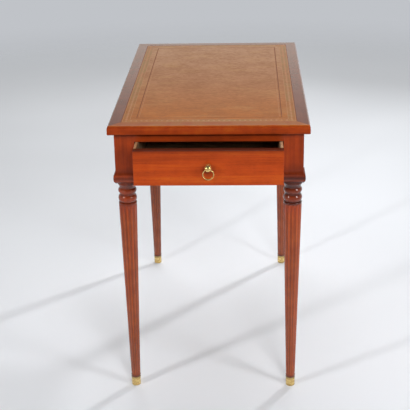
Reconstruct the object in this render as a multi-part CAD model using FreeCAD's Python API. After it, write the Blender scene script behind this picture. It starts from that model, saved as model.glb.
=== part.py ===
import FreeCAD, Part
import math
import os

# Small writing table with a leather-lined top, a drawer in its short end and four fluted
# round legs in brass shoes. Millimetres, +Z up, origin on the floor midway between the feet.
# The drawer end faces -Y. The drawer is modelled as far open as it stands at rest.

# Overall size
top_width = 500.0
top_length = 870.0
table_height = 750.0
top_thickness = 24.0
top_overhang = 15.0

# Cutting and fitting
overrun = 5.0
joint_play = 0.15
arris = 0.8

# Top: mitred frame, core panel and leather
frame_width = 62.0
banding_width = 32.0
leather_thickness = 1.2
leather_sink = 0.2
leather_play = 0.3
core_thickness = 16.0
tongue_thickness = 6.0
tongue_length = 8.0
nosing_height = 3.4
nosing_depth = 4.6
nosing_set_back = 1.6
quirk_depth = 1.1
quirk_height = 1.0
edge_shoulder = 1.0
lower_round = 3.2
edge_slope = 0.5
key_length = 40.0
key_width = 26.0
key_thickness = 4.0
key_lift = 2.0

# Leg: square block, moulded base, turned neck, fluted shaft, foot collar
block_size = 50.0
apron_height = 131.0
cavetto_height = 13.0
band_height = 18.0
band_projection = 4.3
band_bulge = 1.2
band_step = 1.4
band_splay = 5.0
disc_diameter = 49.0
disc_height = 7.0
cove_height = 11.5
cove_depth = 1.2
neck_diameter = 40.4
upper_ring_diameter = 46.8
upper_ring_height = 14.4
groove_height = 4.0
lower_ring_diameter = 47.4
lower_ring_height = 19.6
bead_diameter = 46.4
bead_height = 4.2
shaft_top_diameter = 46.2
shaft_foot_diameter = 23.8
collar_diameter = 25.4
collar_height = 6.5
collar_lift = 2.0

# Flutes of the shaft
flute_count = 12
flute_width_share = 0.70
flute_depth_share = 0.30
flute_top_gap = 5.0
flute_foot_gap = 8.0

# Brass shoe
shoe_height = 25.5
shoe_mouth_diameter = 24.4
shoe_foot_diameter = 24.0
shoe_wall = 1.3
shoe_base = 3.0
shoe_lip_height = 1.8
shoe_lip_swell = 0.5
shoe_foot_round = 1.0
shoe_pin_diameter = 1.8
shoe_pin_length = 6.0
shoe_pin_height = 17.0

# Apron rails and their tenons
rail_thickness = 20.0
rail_set_back = 1.0
upper_rail_height = 22.0
lower_rail_height = 17.5
tenon_thickness = 8.0
tenon_length = 22.0
tenon_shoulder = 14.0
flat_tenon_thickness = 7.0
flat_tenon_shoulder = 12.0

# Drawer housing
runner_bearing = 15.0
runner_tenon_length = 8.0
runner_tenon_thickness = 5.0
runner_tenon_width = 12.0
guide_height = 26.0
guide_play = 0.3
stop_length = 24.0
stop_width = 14.0
stop_height = 5.0
stop_spacing = 220.0
stop_play = 0.2

# Drawer
drawer_open_at_rest = 66.0
drawer_length = 520.0
drawer_side_play = 1.5
drawer_top_play = 1.5
drawer_foot_play = 0.5
drawer_front_thickness = 20.0
drawer_side_thickness = 9.0
drawer_side_set_in = 0.5
drawer_side_drop = 1.0
drawer_back_thickness = 9.0
drawer_back_drop = 6.0
drawer_bottom_thickness = 6.0
drawer_bottom_lift = 8.0
drawer_groove_depth = 4.5
dovetail_count = 3
dovetail_lap = 6.0
dovetail_slope = 0.17
dovetail_width_share = 0.62

# Ring pull
pull_rise = 5.0
pull_flange_diameter = 15.0
pull_flange_thickness = 2.0
pull_stem_diameter = 8.0
pull_head_diameter = 18.6
pull_head_back = 10.5
pull_head_reach = 14.3
pull_eye_reach = 6.5
pull_eye_drop = 5.5
pull_eye_radius = 3.9
pull_eye_bore = 3.8
pull_eye_thickness = 5.0
pull_ring_diameter = 26.5
pull_wire = 2.8
pull_shank_diameter = 5.0
pull_shank_play = 0.2
pull_shank_spare = 3.0
pull_washer_diameter = 14.0
pull_washer_thickness = 1.2
pull_nut_flats = 9.0
pull_nut_height = 4.5
nut_sides = 6

# Wood screws
screw_shank_diameter = 4.0
screw_head_diameter = 8.0
screw_head_height = 2.6
screw_tip_height = 4.0
screw_head_sink = 0.6
screw_slot_width = 1.0
screw_slot_depth = 1.1
top_screw_tip_gap = 1.6
top_screw_inset = 9.0
top_screw_places_shares = (-0.40, 0.0, 0.40)
front_screw_spacing = 200.0
guide_screw_bite = 12.0
guide_screw_places_shares = (-0.34, 0.0, 0.34)
bottom_screw_bite = 10.0
bottom_screw_places_shares = (-0.35, 0.0, 0.35)

# Levels and planes worked out from the sizes above
half_width = top_width / 2
half_length = top_length / 2
base_top = table_height - top_thickness
apron_bottom = base_top - apron_height
block_x = half_width - top_overhang
block_y = half_length - top_overhang
leg_x = block_x - block_size / 2
leg_y = block_y - block_size / 2
inner_x = block_x - block_size
inner_y = block_y - block_size
rail_x = block_x - rail_set_back
rail_y = block_y - rail_set_back
side_rail_inner_x = rail_x - rail_thickness
opening_top = base_top - upper_rail_height
opening_bottom = apron_bottom + lower_rail_height
leather_floor = table_height - leather_sink - leather_thickness
core_x = half_width - frame_width
core_y = half_length - frame_width
core_bottom = leather_floor - core_thickness
tongue_bottom = core_bottom + (core_thickness - tongue_thickness) / 2
tongue_top = tongue_bottom + tongue_thickness
drawer_face = -rail_y - drawer_open_at_rest
drawer_front_back = drawer_face + drawer_front_thickness
drawer_end = drawer_face + drawer_length
drawer_back_face = drawer_end - drawer_back_thickness
drawer_front_x = inner_x - drawer_side_play
drawer_side_x = drawer_front_x - drawer_side_set_in
drawer_inner_x = drawer_side_x - drawer_side_thickness
drawer_foot = opening_bottom + drawer_foot_play
drawer_front_top = opening_top - drawer_top_play
drawer_side_top = drawer_front_top - drawer_side_drop
drawer_back_top = drawer_side_top - drawer_back_drop
panel_bottom = drawer_foot + drawer_bottom_lift
panel_top = panel_bottom + drawer_bottom_thickness
pull_z = (drawer_foot + drawer_front_top) / 2 + pull_rise
ring_radius = pull_ring_diameter / 2
eye_y = drawer_face - pull_eye_reach
eye_z = pull_z - pull_eye_drop
runner_x = drawer_side_x - runner_bearing
collar_bottom = shoe_height + collar_lift
collar_top = collar_bottom + collar_height
spigot_radius = shoe_mouth_diameter / 2 - shoe_wall - joint_play

X_AXIS = FreeCAD.Vector(1, 0, 0)
Y_AXIS = FreeCAD.Vector(0, 1, 0)
Z_AXIS = FreeCAD.Vector(0, 0, 1)
SIDES = (("left", -1), ("right", 1))
ENDS = (("front", -1), ("back", 1))


def point(x, y, z):
    return FreeCAD.Vector(x, y, z)


def brick(xs, ys, zs, grow=0):
    """Box between two x, two y and two z values given in any order, grown on every face."""
    low = [min(pair) - grow for pair in (xs, ys, zs)]
    high = [max(pair) + grow for pair in (xs, ys, zs)]
    sizes = [b - a for a, b in zip(low, high)]
    return Part.makeBox(sizes[0], sizes[1], sizes[2], point(*low))


def softened(shape, edges):
    """Round the sharp arrises that hands and eyes meet."""
    return shape.makeFillet(arris, edges)


def edges_at(shape, **planes):
    """Edges of a shape whose ends all lie where the named coordinates have the given values."""
    def lies_there(vertex):
        return all(math.isclose(getattr(vertex.Point, axis), value, abs_tol=joint_play / 2)
                   for axis, value in planes.items())

    return [edge for edge in shape.Edges if all(map(lies_there, edge.Vertexes))]


def outline_face(steps):
    """Face from a start point and steps that are ('line', end) or ('arc', middle, end)."""
    start = steps[0]
    here = start
    edges = []
    for step in steps[1:]:
        if step[0] == "line":
            edges.append(Part.makeLine(here, step[1]))
        else:
            edges.append(Part.Arc(here, step[1], step[2]).toShape())
        here = step[-1]
    if not here.isEqual(start, joint_play / 2):
        edges.append(Part.makeLine(here, start))
    return Part.Face(Part.Wire(edges))


def save(node, shape):
    shape = shape.removeSplitter() if len(shape.Solids) == 1 else shape
    solid = shape.Solids[0] if len(shape.Solids) == 1 else Part.makeCompound(shape.Solids)
    if not solid.isValid():
        raise ValueError(node + " is not a valid solid")
    solid.exportStep(os.path.join("parts", node + ".step"))


# Top

def edge_profile():
    """Section of a frame member: x runs in from the moulded edge, z is the height."""
    nosing_foot = table_height - nosing_height
    quirk_foot = nosing_foot - quirk_height
    shoulder_foot = quirk_foot - edge_shoulder
    round_top = base_top + lower_round
    groove_low = tongue_bottom - joint_play
    groove_high = tongue_top + joint_play
    groove_floor = frame_width - tongue_length - joint_play
    bow = math.sqrt(0.5)
    nosing_run = nosing_depth - nosing_set_back
    nosing_middle = point(nosing_depth - nosing_run * bow, 0, nosing_foot + nosing_height * bow)
    round_middle = point(lower_round - lower_round * bow, 0, round_top - lower_round * bow)
    return outline_face([
        point(frame_width, 0, leather_floor),
        ("line", point(banding_width, 0, leather_floor)),
        ("line", point(banding_width, 0, table_height)),
        ("line", point(nosing_depth, 0, table_height)),
        ("arc", nosing_middle, point(nosing_set_back, 0, nosing_foot)),
        ("line", point(nosing_set_back + quirk_depth, 0, nosing_foot)),
        ("line", point(nosing_set_back + quirk_depth, 0, quirk_foot)),
        ("line", point(edge_slope + edge_shoulder, 0, quirk_foot)),
        ("line", point(edge_slope, 0, shoulder_foot)),
        ("line", point(0, 0, (shoulder_foot + round_top) / 2)),
        ("line", point(0, 0, round_top)),
        ("arc", round_middle, point(lower_round, 0, base_top)),
        ("line", point(frame_width, 0, base_top)),
        ("line", point(frame_width, 0, groove_low)),
        ("line", point(groove_floor, 0, groove_low)),
        ("line", point(groove_floor, 0, groove_high)),
        ("line", point(frame_width, 0, groove_high)),
    ])


def mitred_member(length, reach):
    """Frame member along Y at -X: its moulded edge lies at -reach, its ends are mitred."""
    bar = edge_profile().extrude(point(0, length, 0))
    bar.translate(point(-reach, -length / 2, 0))
    outer = -reach - overrun
    inner = -reach + frame_width
    end = length / 2
    corners = [point(outer, -end - overrun, 0), point(inner, -end + frame_width, 0),
               point(inner, end - frame_width, 0), point(outer, end + overrun, 0)]
    trapezoid = Part.Face(Part.makePolygon(corners + corners[:1]))
    return bar.common(trapezoid.extrude(point(0, 0, table_height + overrun)))


def mitre_keys(grow=0):
    """Loose tongues that cross the four mitres of the top's frame."""
    keys = []
    foot = base_top + key_lift
    for _, side in SIDES:
        for _, end in ENDS:
            key = brick((-key_length / 2, key_length / 2), (-key_width / 2, key_width / 2),
                        (foot, foot + key_thickness), grow)
            key.rotate(point(0, 0, 0), Z_AXIS, math.degrees(math.atan2(end, side)))
            key.translate(point(side * (half_width - frame_width / 2),
                                end * (half_length - frame_width / 2), 0))
            keys.append(key)
    return keys


def top_frame():
    slots = mitre_keys(joint_play)
    screws = top_screws(clearing=True)
    for name, side in SIDES:
        member = mitred_member(top_length, half_width)
        if side > 0:
            member.rotate(point(0, 0, 0), Z_AXIS, math.degrees(math.pi))
        save("top_frame_" + name, member.cut(slots + screws))
    for name, end in ENDS:
        member = mitred_member(top_width, half_length)
        member.rotate(point(0, 0, 0), Z_AXIS, math.degrees(-end * math.pi / 2))
        save("top_frame_" + name, member.cut(slots + screws))
    save("mitre_keys", Part.makeCompound(mitre_keys()))


def top_core():
    panel = brick((-core_x, core_x), (-core_y, core_y), (core_bottom, leather_floor))
    tongue_x = core_x + tongue_length
    tongue_y = core_y + tongue_length
    tongue = brick((-tongue_x, tongue_x), (-tongue_y, tongue_y), (tongue_bottom, tongue_top))
    save("top_core_panel", panel.fuse(tongue))


def leather():
    edge_x = half_width - banding_width - leather_play
    edge_y = half_length - banding_width - leather_play
    save("leather_writing_surface", brick((-edge_x, edge_x), (-edge_y, edge_y),
                                          (leather_floor, leather_floor + leather_thickness)))


# Rails, each as a body and its tenons

def side_rail_body(side):
    return brick((side * side_rail_inner_x, side * rail_x), (-inner_y, inner_y),
                 (apron_bottom, base_top))


def side_rail_tenon(side, end, grow=0):
    middle = rail_x - rail_thickness / 2
    return brick((side * (middle - tenon_thickness / 2), side * (middle + tenon_thickness / 2)),
                 (end * inner_y, end * (inner_y + tenon_length)),
                 (apron_bottom + tenon_shoulder, base_top - tenon_shoulder), grow)


def back_rail_body():
    return brick((-inner_x, inner_x), (rail_y - rail_thickness, rail_y), (apron_bottom, base_top))


def back_rail_tenon(side, grow=0):
    middle = rail_y - rail_thickness / 2
    return brick((side * inner_x, side * (inner_x + tenon_length)),
                 (middle - tenon_thickness / 2, middle + tenon_thickness / 2),
                 (apron_bottom + tenon_shoulder, base_top - tenon_shoulder), grow)


def front_rail_levels(which):
    if which == "upper":
        return opening_top, base_top
    return apron_bottom, opening_bottom


def front_rail_body(which):
    return brick((-inner_x, inner_x), (-rail_y, -inner_y), front_rail_levels(which))


def front_rail_tenon(which, side, grow=0):
    low, high = front_rail_levels(which)
    middle = (low + high) / 2
    return brick((side * inner_x, side * (inner_x + tenon_length)),
                 (-rail_y + flat_tenon_shoulder, -inner_y - flat_tenon_shoulder),
                 (middle - flat_tenon_thickness / 2, middle + flat_tenon_thickness / 2), grow)


def rails():
    screws = top_screws(clearing=True) + guide_screws(clearing=True)
    for name, side in SIDES:
        body = side_rail_body(side)
        body = softened(body, edges_at(body, x=side * rail_x, z=apron_bottom))
        tenons = [side_rail_tenon(side, end) for _, end in ENDS]
        save("side_rail_" + name, body.fuse(tenons).cut(screws))
    body = back_rail_body()
    body = softened(body, edges_at(body, y=rail_y, z=apron_bottom))
    save("back_rail", body.fuse([back_rail_tenon(side) for _, side in SIDES]))
    for which in ("upper", "lower"):
        low, high = front_rail_levels(which)
        body = front_rail_body(which)
        seen = high if which == "lower" else low
        body = softened(body, edges_at(body, y=-rail_y, z=seen))
        body = body.fuse([front_rail_tenon(which, side) for _, side in SIDES])
        if which == "upper":
            body = body.cut(screws)
        else:
            body = body.cut([runner_tenon(side, joint_play) for _, side in SIDES])
        save("front_" + which + "_rail", body)


# Legs

def block_section():
    """Section of the block about the leg's axis, with its base moulding on the +x side only."""
    half = block_size / 2
    band = half + band_projection
    band_foot = apron_bottom + band_splay
    band_top = band_foot + band_height
    flare_top = band_top + cavetto_height
    flare_run = band_projection - band_step
    bow = math.sqrt(0.5)
    flare = point(half + flare_run - flare_run * bow, 0, flare_top - cavetto_height * bow)
    bulge = point(band + band_bulge, 0, (band_top + band_foot) / 2)
    return outline_face([
        point(half, 0, base_top),
        ("line", point(half, 0, flare_top)),
        ("arc", flare, point(half + flare_run, 0, band_top)),
        ("line", point(band, 0, band_top)),
        ("arc", bulge, point(band, 0, band_foot)),
        ("line", point(half, 0, apron_bottom)),
        ("line", point(-half, 0, apron_bottom)),
        ("line", point(-half, 0, base_top)),
    ])


def leg_block(side, end):
    """Square block whose base moulding runs round its two outer faces and mitres at the corner."""
    across = block_section().extrude(point(0, 2 * block_size, 0))
    across.translate(point(0, -block_size, 0))
    along = across.copy()
    across.rotate(point(0, 0, 0), Z_AXIS, math.degrees(math.acos(side)))
    along.rotate(point(0, 0, 0), Z_AXIS, math.degrees(end * math.pi / 2))
    block = across.common(along)
    return softened(block, edges_at(block, x=side * block_size / 2, y=end * block_size / 2))


def leg_turning():
    """Round part below the block: disc, cove, two rings, bead, shaft, collar and spigot."""
    disc_foot = apron_bottom - disc_height
    cove_foot = disc_foot - cove_height
    ring_foot = cove_foot - upper_ring_height
    groove_foot = ring_foot - groove_height
    lower_foot = groove_foot - lower_ring_height
    bead_foot = lower_foot - bead_height
    neck = neck_diameter / 2
    cove_middle = (disc_diameter / 2 + neck) / 2 - cove_depth
    collar_neck = shaft_foot_diameter / 2

    def at(x, z):
        return point(x, 0, z)

    face = outline_face([
        at(0, apron_bottom + overrun),
        ("line", at(disc_diameter / 2, apron_bottom + overrun)),
        ("line", at(disc_diameter / 2, disc_foot)),
        ("arc", at(cove_middle, (disc_foot + cove_foot) / 2), at(neck, cove_foot)),
        ("arc", at(upper_ring_diameter / 2, (cove_foot + ring_foot) / 2), at(neck, ring_foot)),
        ("line", at(neck, groove_foot)),
        ("arc", at(lower_ring_diameter / 2, (groove_foot + lower_foot) / 2), at(neck, lower_foot)),
        ("arc", at(bead_diameter / 2, (lower_foot + bead_foot) / 2),
         at(shaft_top_diameter / 2, bead_foot)),
        ("line", at(collar_neck, collar_top)),
        ("arc", at(collar_diameter / 2, (collar_top + collar_bottom) / 2),
         at(collar_neck, collar_bottom)),
        ("line", at(collar_neck, shoe_height)),
        ("line", at(spigot_radius, shoe_height)),
        ("line", at(spigot_radius, shoe_base)),
        ("line", at(0, shoe_base)),
    ])
    turned = face.revolve(point(0, 0, 0), Z_AXIS, math.degrees(2 * math.pi))
    return turned.cut(flute_cutters(bead_foot))


def shaft_radius(z, shaft_top):
    share = (z - collar_top) / (shaft_top - collar_top)
    return (shaft_foot_diameter + share * (shaft_top_diameter - shaft_foot_diameter)) / 2


def flute_tool(z, shaft_top):
    """Radius of the round cutter at a height, and how far from the axis its centre runs."""
    radius = shaft_radius(z, shaft_top)
    width = 2 * math.pi * radius / flute_count * flute_width_share
    depth = width * flute_depth_share
    tool = (width ** 2 / 4 + depth ** 2) / (2 * depth)
    return tool, radius + tool - depth


def flute_cutters(shaft_top):
    low = collar_top + flute_foot_gap
    high = shaft_top - flute_top_gap
    low_tool, low_out = flute_tool(low, shaft_top)
    high_tool, high_out = flute_tool(high, shaft_top)
    foot = point(low_out, 0, low)
    run = point(high_out, 0, high) - foot
    cutter = Part.makeCone(low_tool, high_tool, run.Length, foot, run)
    cutter = cutter.fuse([Part.makeSphere(low_tool, foot), Part.makeSphere(high_tool, foot + run)])
    cutters = []
    for index in range(flute_count):
        copy = cutter.copy()
        copy.rotate(point(0, 0, 0), Z_AXIS, math.degrees(2 * math.pi * (index + 0.5) / flute_count))
        cutters.append(copy)
    return cutters


def legs():
    turning = leg_turning()
    for end_name, end in ENDS:
        for side_name, side in SIDES:
            leg = leg_block(side, end).fuse(turning)
            leg.translate(point(side * leg_x, end * leg_y, 0))
            cutters = [side_rail_body(side), side_rail_tenon(side, end, joint_play)]
            if end > 0:
                cutters += [back_rail_body(), back_rail_tenon(side, joint_play)]
            else:
                for which in ("upper", "lower"):
                    cutters.append(front_rail_body(which))
                    cutters.append(front_rail_tenon(which, side, joint_play))
            leg = leg.cut(cutters + [runner_body(side), shoe_pin(side, end)])
            save("leg_" + end_name + "_" + side_name, leg)


# Brass shoes and their pins

def shoe_pin(side, end):
    radius = shoe_pin_diameter / 2
    start = point(side * (leg_x - shoe_mouth_diameter / 2 + shoe_wall / 2), end * leg_y,
                  shoe_pin_height)
    return Part.makeCylinder(radius, shoe_pin_length, start, X_AXIS * side)


def shoe_blank():
    mouth = shoe_mouth_diameter / 2
    foot = shoe_foot_diameter / 2
    inner = mouth - shoe_wall
    lip_foot = shoe_height - shoe_lip_height
    bow = 1 - math.sqrt(0.5)

    def at(x, z):
        return point(x, 0, z)

    face = outline_face([
        at(0, 0),
        ("line", at(foot - shoe_foot_round, 0)),
        ("arc", at(foot - shoe_foot_round * bow, shoe_foot_round * bow), at(foot, shoe_foot_round)),
        ("line", at(mouth, lip_foot)),
        ("arc", at(mouth + shoe_lip_swell, (lip_foot + shoe_height) / 2), at(mouth, shoe_height)),
        ("line", at(inner, shoe_height)),
        ("line", at(inner, shoe_base)),
        ("line", at(0, shoe_base)),
    ])
    return face.revolve(point(0, 0, 0), Z_AXIS, math.degrees(2 * math.pi))


def shoes():
    blank = shoe_blank()
    pins = []
    for end_name, end in ENDS:
        for side_name, side in SIDES:
            shoe = blank.copy()
            shoe.translate(point(side * leg_x, end * leg_y, 0))
            save("shoe_" + end_name + "_" + side_name, shoe.cut(shoe_pin(side, end)))
            pins.append(shoe_pin(side, end))
    save("shoe_pins", Part.makeCompound(pins))


# Drawer housing

def runner_body(side):
    return brick((side * runner_x, side * side_rail_inner_x), (-inner_y, inner_y),
                 (apron_bottom, opening_bottom))


def runner_tenon(side, grow=0):
    middle = (apron_bottom + opening_bottom) / 2
    return brick((side * runner_x, side * (runner_x + runner_tenon_width)),
                 (-inner_y - runner_tenon_length, -inner_y),
                 (middle - runner_tenon_thickness / 2, middle + runner_tenon_thickness / 2), grow)


def guide_body(side):
    return brick((side * (inner_x - guide_play), side * side_rail_inner_x), (-inner_y, inner_y),
                 (opening_bottom, opening_bottom + guide_height))


def kicker_body(side):
    return brick((side * runner_x, side * side_rail_inner_x), (-inner_y, inner_y),
                 (opening_top, base_top))


def housing():
    for name, side in SIDES:
        save("drawer_runner_" + name, runner_body(side).fuse(runner_tenon(side)))
        save("drawer_guide_" + name, guide_body(side).cut(guide_screws(clearing=True)))
        save("drawer_kicker_" + name, kicker_body(side).cut(top_screws(clearing=True)))


def drawer_stops():
    stops = []
    face = -rail_y + drawer_front_thickness + stop_play
    for _, side in SIDES:
        middle = side * stop_spacing / 2
        stops.append(brick((middle - stop_length / 2, middle + stop_length / 2),
                           (face, face + stop_width),
                           (opening_bottom, opening_bottom + stop_height)))
    save("drawer_stops", Part.makeCompound(stops))


# Screws

def wood_screw(foot, direction, length, clearing):
    """Slotted countersunk screw from foot along direction, or the room to clear for one."""
    head_radius = screw_head_diameter / 2
    shank = screw_shank_diameter / 2
    start = point(0, 0, screw_head_sink)
    head = Part.makeCone(head_radius, shank, screw_head_height, start)
    body = Part.makeCylinder(shank, length - screw_head_sink - screw_tip_height, start)
    tip = Part.makeCone(shank, 0, screw_tip_height, point(0, 0, length - screw_tip_height))
    screw = head.fuse([body, tip])
    if clearing:
        well = Part.makeCylinder(head_radius, overrun + screw_head_sink, point(0, 0, -overrun))
        screw = screw.fuse(well)
    else:
        screw = screw.cut(brick((-screw_head_diameter, screw_head_diameter),
                                (-screw_slot_width / 2, screw_slot_width / 2),
                                (-overrun, screw_head_sink + screw_slot_depth)))
    screw.Placement = FreeCAD.Placement(foot, FreeCAD.Rotation(Z_AXIS, direction))
    return screw


def top_screws(clearing=False):
    """Screws up through the kickers and the front upper rail, short of the core's tongue."""
    length = tongue_bottom - top_screw_tip_gap - opening_top
    row_x = side_rail_inner_x - top_screw_inset
    feet = []
    for _, side in SIDES:
        for share in top_screw_places_shares:
            feet.append(point(side * row_x, share * 2 * inner_y, opening_top))
        feet.append(point(side * front_screw_spacing / 2, -leg_y, opening_top))
    return [wood_screw(foot, Z_AXIS, length, clearing) for foot in feet]


def guide_screws(clearing=False):
    """Screws through the drawer guides into the side rails."""
    length = side_rail_inner_x - inner_x + guide_play + guide_screw_bite
    z = opening_bottom + guide_height / 2
    screws = []
    for _, side in SIDES:
        for share in guide_screw_places_shares:
            foot = point(side * (inner_x - guide_play), share * 2 * inner_y, z)
            screws.append(wood_screw(foot, X_AXIS * side, length, clearing))
    return screws


def bottom_screws(clearing=False):
    """Screws up through the drawer's bottom board into its back."""
    length = drawer_bottom_thickness + bottom_screw_bite
    y = drawer_end - drawer_back_thickness / 2
    feet = [point(share * 2 * drawer_inner_x, y, panel_bottom) for share in bottom_screw_places_shares]
    return [wood_screw(foot, Z_AXIS, length, clearing) for foot in feet]


def screw_groups():
    save("top_screws", Part.makeCompound(top_screws()))
    save("guide_screws", Part.makeCompound(guide_screws()))
    save("drawer_bottom_screws", Part.makeCompound(bottom_screws()))


# Drawer

def dovetails(side, shoulder_y, length, low, high):
    """Tails that leave a drawer side at shoulder_y and widen towards their ends."""
    tails = []
    pitch = (high - low) / dovetail_count
    outer = side * drawer_side_x
    inner = side * drawer_inner_x
    spread = abs(length) * dovetail_slope
    for index in range(dovetail_count):
        middle = low + pitch * (index + 0.5)
        wide = pitch * dovetail_width_share / 2
        narrow = wide - spread
        end = shoulder_y + length
        corners = [point(outer, shoulder_y, middle - narrow), point(outer, end, middle - wide),
                   point(outer, end, middle + wide), point(outer, shoulder_y, middle + narrow)]
        face = Part.Face(Part.makePolygon(corners + corners[:1]))
        tails.append(face.extrude(point(inner - outer, 0, 0)))
    return tails


def front_tails(side):
    return dovetails(side, drawer_front_back, dovetail_lap - drawer_front_thickness,
                     drawer_foot, drawer_side_top)


def back_tails(side):
    return dovetails(side, drawer_back_face, drawer_back_thickness, panel_top, drawer_back_top)


def drawer_panel(grow=0):
    """Bottom board, let into grooves in the front and sides and passed under the back."""
    reach = drawer_inner_x + drawer_groove_depth - joint_play
    return brick((-reach, reach), (drawer_front_back - drawer_groove_depth + joint_play, drawer_end),
                 (panel_bottom, panel_top), grow)


def drawer_front():
    front = brick((-drawer_front_x, drawer_front_x), (drawer_face, drawer_front_back),
                  (drawer_foot, drawer_front_top))
    front = softened(front, edges_at(front, y=drawer_face))
    for _, side in SIDES:
        front = front.cut(front_tails(side))
    bore = Part.makeCylinder(pull_shank_diameter / 2 + pull_shank_play,
                             drawer_front_thickness + 2 * overrun,
                             point(0, drawer_face - overrun, pull_z), Y_AXIS)
    save("drawer_front", front.cut([bore, drawer_panel(joint_play)]))


def drawer_sides():
    for name, side in SIDES:
        xs = (side * drawer_inner_x, side * drawer_side_x)
        board = brick(xs, (drawer_front_back, drawer_back_face), (drawer_foot, drawer_side_top))
        heel = brick(xs, (drawer_back_face, drawer_end), (drawer_foot, panel_top))
        board = board.fuse([heel] + front_tails(side) + back_tails(side))
        save("drawer_side_" + name, board.cut(drawer_panel(joint_play)))


def drawer_back():
    back = brick((-drawer_side_x, drawer_side_x), (drawer_back_face, drawer_end),
                 (panel_top + joint_play, drawer_back_top))
    cutters = back_tails(-1) + back_tails(1) + bottom_screws(clearing=True)
    save("drawer_back", back.cut(cutters))


def drawer_bottom():
    save("drawer_bottom", drawer_panel().cut(bottom_screws(clearing=True)))


# Ring pull

def pull_post():
    """Turned knob with a pierced lug under its stem and a shank through the drawer front."""
    outwards = Y_AXIS * -1
    base = point(0, drawer_face, pull_z)
    flange = Part.makeCylinder(pull_flange_diameter / 2, pull_flange_thickness, base, outwards)
    stem = Part.makeCylinder(pull_stem_diameter / 2, pull_head_reach, base, outwards)
    head = Part.makeSphere(pull_head_diameter / 2, base + outwards * pull_head_reach)
    head = head.common(brick((-pull_head_diameter, pull_head_diameter),
                             (drawer_face - pull_head_back, drawer_face - 2 * pull_head_diameter),
                             (pull_z - pull_head_diameter, pull_z + pull_head_diameter)))
    half = pull_eye_thickness / 2
    lug = Part.makeCylinder(pull_eye_radius, pull_eye_thickness, point(-half, eye_y, eye_z), X_AXIS)
    web = brick((-half, half), (eye_y - pull_eye_radius, eye_y + pull_eye_radius), (eye_z, pull_z))
    bore = Part.makeCylinder(pull_eye_bore / 2, pull_eye_thickness + 2 * overrun,
                             point(-half - overrun, eye_y, eye_z), X_AXIS)
    shank_length = (drawer_front_thickness + pull_washer_thickness + pull_nut_height
                    + pull_shank_spare)
    shank = Part.makeCylinder(pull_shank_diameter / 2, shank_length, base, Y_AXIS)
    save("pull_post", flange.fuse([stem, head, lug, web, shank]).cut(bore))


def pull_ring():
    middle = point(0, eye_y, eye_z - ring_radius)
    save("pull_ring", Part.makeTorus(ring_radius, pull_wire / 2, middle, Y_AXIS))


def pull_nut():
    seat = drawer_front_back
    bore = Part.makeCylinder(pull_shank_diameter / 2 + pull_shank_play / 2, 2 * drawer_front_thickness,
                             point(0, seat - overrun, pull_z), Y_AXIS)
    washer = Part.makeCylinder(pull_washer_diameter / 2, pull_washer_thickness,
                               point(0, seat, pull_z), Y_AXIS)
    save("pull_washer", washer.cut(bore))
    corner = pull_nut_flats / 2 / math.cos(math.pi / nut_sides)
    turns = [2 * math.pi * index / nut_sides for index in range(nut_sides + 1)]
    corners = [point(corner * math.cos(turn), seat + pull_washer_thickness,
                     pull_z + corner * math.sin(turn)) for turn in turns]
    nut = Part.Face(Part.makePolygon(corners)).extrude(point(0, pull_nut_height, 0))
    save("pull_nut", nut.cut(bore))


os.makedirs("parts", exist_ok=True)
top_frame()
top_core()
leather()
legs()
shoes()
rails()
housing()
drawer_stops()
screw_groups()
drawer_front()
drawer_sides()
drawer_back()
drawer_bottom()
pull_post()
pull_ring()
pull_nut()
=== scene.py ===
import math

import bmesh
import bpy
from bpy.props import FloatProperty, FloatVectorProperty, PointerProperty
from mathutils import Matrix, Vector


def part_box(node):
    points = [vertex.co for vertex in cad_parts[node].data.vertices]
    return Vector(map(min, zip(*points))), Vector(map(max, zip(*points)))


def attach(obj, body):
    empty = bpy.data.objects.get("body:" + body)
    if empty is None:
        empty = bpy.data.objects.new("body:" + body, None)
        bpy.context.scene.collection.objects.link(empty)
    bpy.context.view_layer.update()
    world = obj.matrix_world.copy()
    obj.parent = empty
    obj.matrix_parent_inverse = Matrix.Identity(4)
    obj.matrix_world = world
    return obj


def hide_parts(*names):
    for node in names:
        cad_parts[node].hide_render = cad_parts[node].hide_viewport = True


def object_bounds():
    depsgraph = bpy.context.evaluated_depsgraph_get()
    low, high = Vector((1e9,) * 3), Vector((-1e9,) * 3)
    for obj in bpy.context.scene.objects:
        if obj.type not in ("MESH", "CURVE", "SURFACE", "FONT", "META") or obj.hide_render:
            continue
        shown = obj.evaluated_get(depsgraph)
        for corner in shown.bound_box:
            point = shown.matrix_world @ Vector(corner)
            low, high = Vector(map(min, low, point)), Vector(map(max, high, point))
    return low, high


bl_info = {
    "name": "Leather-Topped Writing Table",
    "version": (1, 0, 0),
    "blender": (4, 5, 0),
    "location": "3D View > Sidebar > Writing Table",
    "description": "Finishes a small mahogany writing table and stands it in a plain studio",
    "category": "Object",
}

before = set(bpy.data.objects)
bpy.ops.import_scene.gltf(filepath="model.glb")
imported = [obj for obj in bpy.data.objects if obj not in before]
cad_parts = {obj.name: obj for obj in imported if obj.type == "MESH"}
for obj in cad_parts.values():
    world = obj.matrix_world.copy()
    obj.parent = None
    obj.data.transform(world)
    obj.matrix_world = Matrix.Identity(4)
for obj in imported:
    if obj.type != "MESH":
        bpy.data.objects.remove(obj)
cad_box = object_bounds()

MM = 0.001
BODY = "carcass"

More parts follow.
